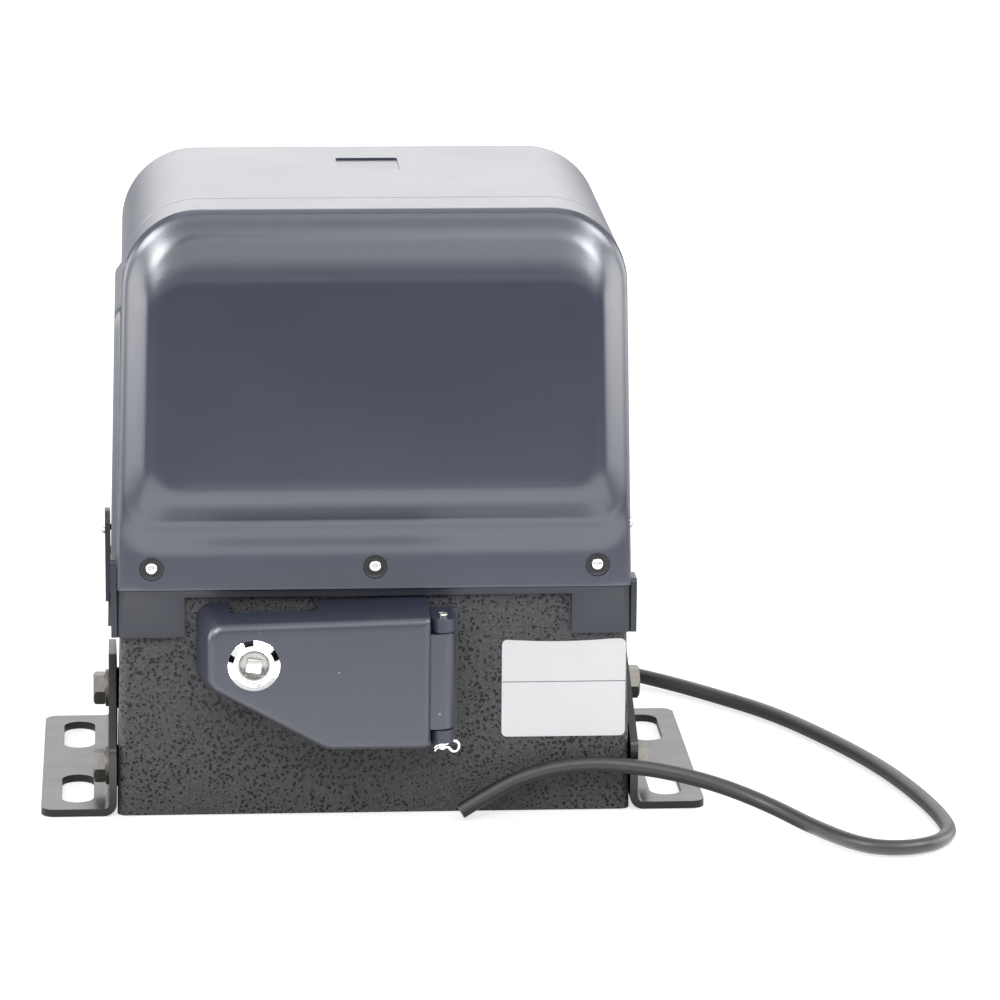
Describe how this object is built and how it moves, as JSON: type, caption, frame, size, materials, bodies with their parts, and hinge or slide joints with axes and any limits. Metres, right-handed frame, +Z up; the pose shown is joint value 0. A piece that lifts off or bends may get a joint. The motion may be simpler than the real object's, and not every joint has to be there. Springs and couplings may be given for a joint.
{
  "type": "sliding gate motor",
  "caption": "Worm-gear sliding gate operator: textured gearbox on slotted L brackets, domed plastic hood, key-locked release door, rear rack pinion and a mains lead.",
  "frame": {"origin": "on the floor, at the centre of the four foundation slots", "axes": "+X to the right when facing the release door, +Y towards the gate and its rack, +Z up"},
  "size_m": [0.4754, 0.3478, 0.324],
  "materials": {
    "textured_paint": "stipple",
    "hood_plastic": "satin",
    "inner_plastic": "matt",
    "black_enamel": "baked enamel",
    "zinc_plate": "zinc plated",
    "black_steel": "blackened",
    "machined_steel": "turned",
    "bronze": "cut",
    "cast_aluminium": "as cast",
    "hinge_casting": "satin",
    "core_steel": "laminated",
    "copper": "enamelled",
    "chrome": "polished",
    "board_green": "solder mask",
    "seal_rubber": "matt",
    "gland_plastic": "satin",
    "label_film": "satin film"
  },
  "bodies": {
    "operator": {"gearbox_housing": "textured_paint", "bottom_cover": "cast_aluminium", "cover_screws": "zinc_plate", "right_bracket": "black_enamel", "left_bracket": "black_enamel", "bracket_bolts": "zinc_plate", "bracket_washers": "black_steel", "lower_shroud": "hood_plastic", "hood_front_shell": "hood_plastic", "hood_rear_shell": "hood_plastic", "hood_screws": "zinc_plate", "side_screws": "zinc_plate", "front_bearing": "machined_steel", "rear_bearing": "machined_steel", "shaft_seal": "seal_rubber", "rod_bush": "bronze", "worm_lower_bearing": "machined_steel", "worm_upper_bearing": "machined_steel", "motor_top_bearing": "machined_steel", "stator_core": "core_steel", "stator_windings": "copper", "motor_lower_shield": "cast_aluminium", "motor_upper_shield": "cast_aluminium", "motor_tie_rods": "zinc_plate", "hinge_bracket": "hinge_casting", "hinge_pin": "zinc_plate", "split_pin": "zinc_plate", "board_holder": "inner_plastic", "board_standoffs": "inner_plastic", "control_board": "board_green", "terminal_strip": "board_green", "board_relays": "inner_plastic", "transformer_core": "core_steel", "transformer_coil": "inner_plastic", "motor_capacitor": "cast_aluminium", "limit_switch_body": "inner_plastic", "cable_gland": "gland_plastic", "gland_nut": "gland_plastic", "mains_cord": "seal_rubber", "rating_label": "label_film"},
    "output": {"output_shaft": "machined_steel", "drive_pinion": "machined_steel", "pinion_key": "machined_steel", "pinion_washer": "zinc_plate", "pinion_bolt": "zinc_plate", "worm_wheel": "bronze", "wheel_stop_ring": "machined_steel", "clutch_spring": "machined_steel"},
    "dog": {"clutch_dog": "machined_steel", "clutch_pin": "machined_steel"},
    "rotor": {"worm_shaft": "machined_steel", "motor_rotor": "core_steel"},
    "rod": {"release_rod": "machined_steel"},
    "door": {"release_door": "hood_plastic", "lock_body": "chrome", "lock_nut": "zinc_plate"},
    "lock": {"lock_plug": "chrome", "lock_shutter": "chrome", "lock_cam": "zinc_plate"},
    "wand": {"limit_wand": "machined_steel"}
  },
  "joints": [
    {"name": "output_turn", "type": "hinge", "parent": "operator", "child": "output", "pos_m": [0, 0, 0.066], "axis": [0, 1, 0], "continuous": true},
    {"name": "worm_turn", "type": "hinge", "parent": "operator", "child": "rotor", "pos_m": [0.056, 0.01, 0.066], "axis": [0, 0, 1], "continuous": true},
    {"name": "door_swing", "type": "hinge", "parent": "operator", "child": "door", "pos_m": [0.0345, -0.107, 0.078], "axis": [0, 0, 1], "range_deg": [0, 95]},
    {"name": "rod_slide", "type": "slide", "parent": "operator", "child": "rod", "axis": [0, -1, 0], "range_m": [0, 0.005]},
    {"name": "dog_slide", "type": "slide", "parent": "output", "child": "dog", "axis": [0, -1, 0], "range_m": [0, 0.005]},
    {"name": "lock_turn", "type": "hinge", "parent": "door", "child": "lock", "pos_m": [-0.0637, -0.11, 0.0897], "axis": [0, 1, 0], "range_deg": [0, 90]},
    {"name": "wand_tilt", "type": "hinge", "parent": "operator", "child": "wand", "pos_m": [0, 0.12, 0.152], "axis": [0, 1, 0], "range_deg": [-20, 20], "stiffness_Nm_per_rad": 0.08}
  ],
  "couplings": [
    {"joint": "worm_turn", "follows": "output_turn", "ratio": 30},
    {"joint": "rod_slide", "follows": "door_swing", "m_per_rad": 0.0030153},
    {"joint": "dog_slide", "follows": "door_swing", "m_per_rad": 0.0030153}
  ]
}
